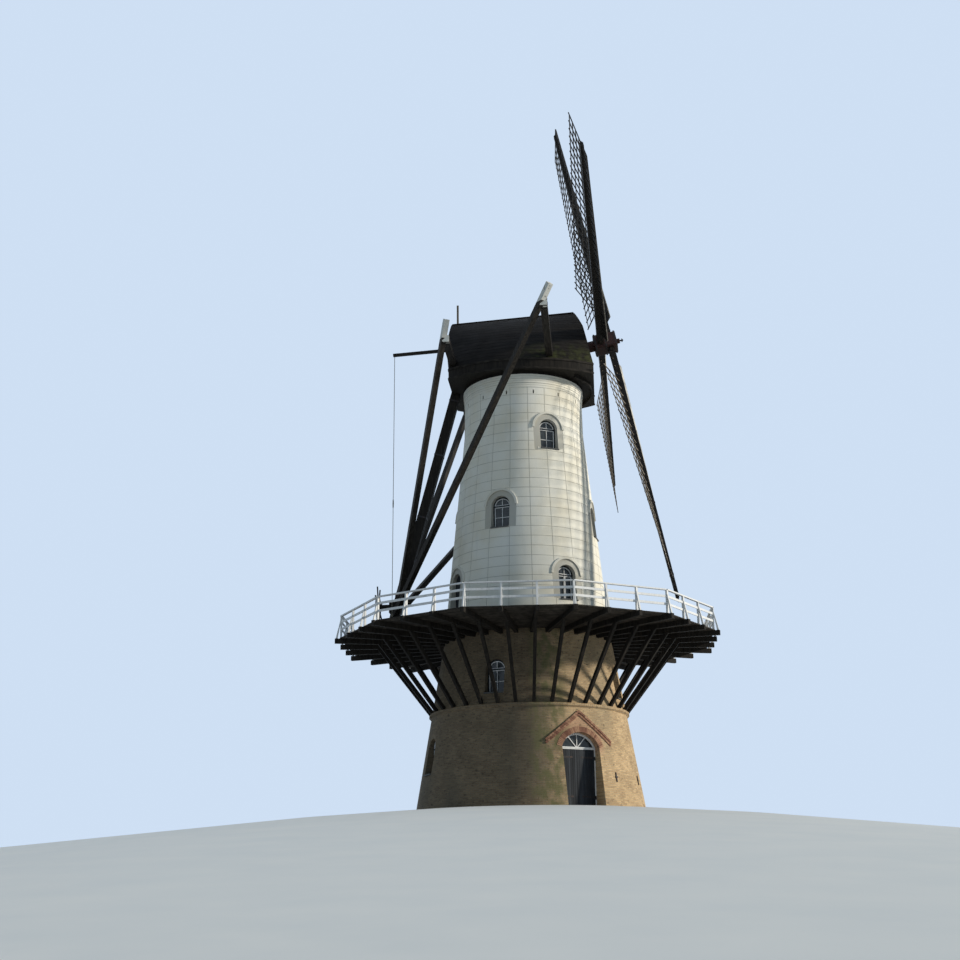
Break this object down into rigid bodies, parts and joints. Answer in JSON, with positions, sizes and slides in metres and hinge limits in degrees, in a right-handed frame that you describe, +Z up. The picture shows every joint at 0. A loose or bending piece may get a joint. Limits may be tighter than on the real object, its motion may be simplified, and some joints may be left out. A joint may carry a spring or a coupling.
{
  "type": "tower windmill",
  "caption": "Round tower windmill with a brick foot, plastered upper tower, railed timber stage, dark turning cap, four lattice sails and a braced tail pole.",
  "frame": {"origin": "on the tower's axis at ground level", "axes": "+Z up along the tower, sails face -Y at rest, tail pole towards +Y"},
  "size_m": [26.9194, 16.8418, 35.1414],
  "materials": {
    "brick": "yellow brick in lime mortar, weathered",
    "plaster": "cream lime plaster lined out as blocks, stained",
    "red_brick": "dark red brick",
    "sill_stone": "dark grey stone",
    "bare_timber": "bare weathered timber",
    "white_paint": "white painted timber",
    "dark_paint": "black painted boards",
    "glass": "window glass",
    "iron": "black painted iron",
    "stage_timber": "tarred timber",
    "tarred_timber": "tarred timber",
    "tarred_cap": "tarred boards",
    "stock_paint": "dark painted stocks",
    "sail_timber": "weathered sail bars",
    "rope": "hemp rope"
  },
  "bodies": {
    "tower": {"brick_wall_left": "brick", "brick_wall_rear": "brick", "brick_wall_right": "brick", "brick_wall_over_door": "brick", "brick_wall_beside_door_left": "brick", "brick_wall_beside_door_right": "brick", "plaster_wall_door": "plaster", "plaster_wall_left": "plaster", "plaster_wall_rear": "plaster", "plaster_wall_right": "plaster", "ground_floor": "brick", "upper_floors": "bare_timber", "window_frames": "white_paint", "window_glass": "glass", "window_sills": "sill_stone", "window_hoods": "red_brick", "door_frame": "white_paint", "door_gable": "red_brick", "door_hooks": "iron", "stage_doors": "dark_paint", "stage_deck": "stage_timber", "stage_beams": "stage_timber", "stage_struts": "stage_timber", "stage_railing": "white_paint"},
    "door_left": {"door_leaf_left": "dark_paint"},
    "door_right": {"door_leaf_right": "dark_paint"},
    "cap": {"cap_roof_left": "tarred_cap", "cap_roof_right": "tarred_cap", "cap_front_wall": "tarred_cap", "cap_rear_wall": "tarred_cap", "cap_curb": "tarred_timber", "cap_frame": "tarred_timber", "cap_skirt": "tarred_cap", "cap_apron": "tarred_cap", "cap_finial": "bare_timber", "shaft_bearings": "bare_timber", "lever_bracket": "tarred_timber", "long_spruit": "tarred_timber", "short_spruit": "tarred_timber", "long_braces": "tarred_timber", "short_braces": "tarred_timber", "tail_beam": "tarred_timber", "winch_bracket": "tarred_timber"},
    "sails": {"windshaft": "iron", "outer_stock": "stock_paint", "inner_stock": "stock_paint", "sail_lattice_1": "sail_timber", "sail_lattice_2": "sail_timber", "sail_lattice_3": "sail_timber", "sail_lattice_4": "sail_timber", "wind_boards": "sail_timber"},
    "winding_wheel": {"winding_wheel": "tarred_timber"},
    "brake_lever": {"brake_lever": "tarred_timber", "brake_rope": "rope", "rope_knot": "rope"}
  },
  "joints": [
    {"name": "door_left_swing", "type": "hinge", "parent": "tower", "child": "door_left", "pos_m": [-4.00803, -1.4493, 0], "axis": [0, 0, -1], "range_deg": [0, 90]},
    {"name": "door_right_swing", "type": "hinge", "parent": "tower", "child": "door_right", "pos_m": [-3.16131, -2.85848, 0], "axis": [0, 0, 1], "range_deg": [0, 90]},
    {"name": "cap_turn", "type": "hinge", "parent": "tower", "child": "cap", "pos_m": [0, 0, 19.375], "axis": [0, 0, 1], "continuous": true},
    {"name": "sail_turn", "type": "hinge", "parent": "cap", "child": "sails", "pos_m": [0, -3.99, 21.85], "axis": [0, -0.9836, 0.1805], "continuous": true},
    {"name": "winding_wheel_turn", "type": "hinge", "parent": "cap", "child": "winding_wheel", "pos_m": [0, 6.2, 9.3], "axis": [0, 1, 0], "continuous": true},
    {"name": "brake_lever_lift", "type": "hinge", "parent": "cap", "child": "brake_lever", "pos_m": [-1.15, 3.18, 21.4], "axis": [1, 0, 0], "range_deg": [0, 5]}
  ]
}
